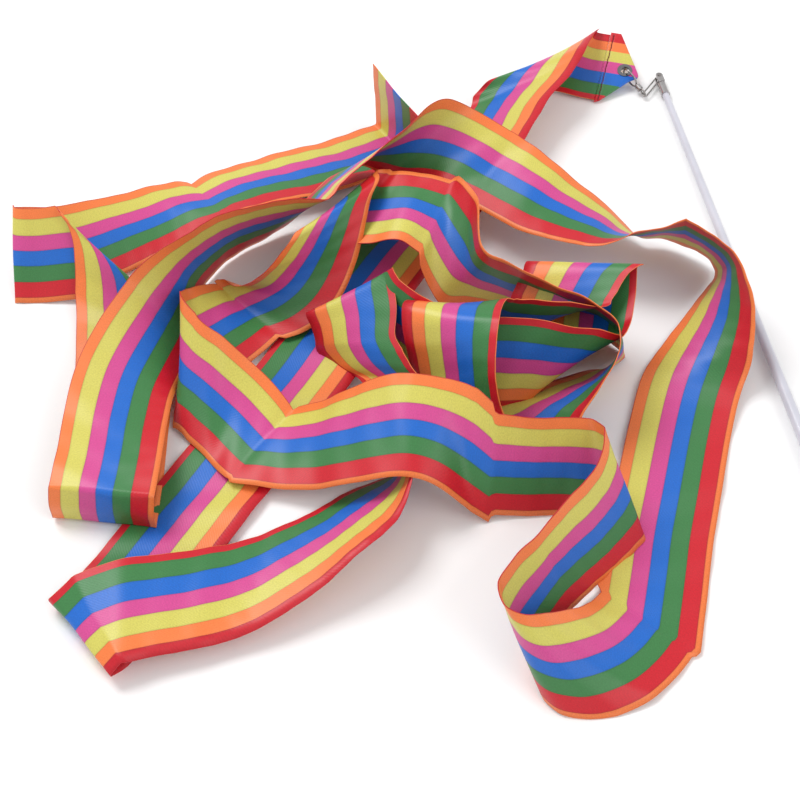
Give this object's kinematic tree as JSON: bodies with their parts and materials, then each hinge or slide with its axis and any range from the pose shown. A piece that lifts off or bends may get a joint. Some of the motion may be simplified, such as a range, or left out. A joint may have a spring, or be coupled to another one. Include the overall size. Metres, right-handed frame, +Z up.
{
  "type": "rhythmic ribbon wand",
  "caption": "Tapered hand wand with a swivel link at its tip and a long striped satin ribbon lying in loose loops and folds.",
  "frame": {"origin": "centre of the bounding box at its lowest face, on the floor", "axes": "+Z up from the floor, the wand points towards -Y from its tip, the ribbon lies at the wand's -X side"},
  "size_m": [0.4277, 0.5366, 0.0564],
  "materials": {
    "satin": "satin",
    "satin_tab": "satin",
    "thread": "matte",
    "plated": "polished",
    "wire": "satin",
    "rod": "gloss",
    "grip": "matte"
  },
  "bodies": {
    "ribbon_body": {"ribbon": "satin", "ribbon_tab": "satin_tab", "tab_stitching": "thread", "eyelet": "plated", "eyelet_washer": "plated"},
    "hook_body": {"hook_wire": "wire"},
    "barrel_body": {"swivel_barrel": "plated"},
    "ring_body": {"swivel_eye": "wire"},
    "link_body": {"link_wire": "wire"},
    "wand_body": {"ferrule_pin": "wire", "tip_ferrule": "plated", "ferrule_rivet": "wire", "wand_rod": "rod", "grip_collar": "plated", "grip_sleeve": "grip", "end_cap": "grip", "cap_plug": "wire"}
  },
  "joints": [
    {"name": "hook_in_eyelet", "type": "hinge", "parent": "ribbon_body", "child": "hook_body", "pos_m": [0.11496, 0.23952, 0.00748], "axis": [0.8301, 0.5276, 0.1806], "range_deg": [-12, 0]},
    {"name": "barrel_spin", "type": "hinge", "parent": "hook_body", "child": "barrel_body", "pos_m": [0.12265, 0.22853, 0.00424], "axis": [0.5573, -0.7964, -0.2349], "continuous": true},
    {"name": "swivel_spin", "type": "hinge", "parent": "hook_body", "child": "ring_body", "pos_m": [0.12265, 0.22853, 0.00424], "axis": [0.5573, -0.7964, -0.2349], "range_deg": [-8, 0]},
    {"name": "link_in_ring", "type": "hinge", "parent": "ring_body", "child": "link_body", "pos_m": [0.12571, 0.22415, 0.00295], "axis": [0, 0, 1], "range_deg": [-1, 20]},
    {"name": "wand_on_pin", "type": "hinge", "parent": "link_body", "child": "wand_body", "pos_m": [0.13533, 0.23941, 0.00295], "axis": [-0.001, 0.0069, 1], "range_deg": [-1, 60]}
  ]
}
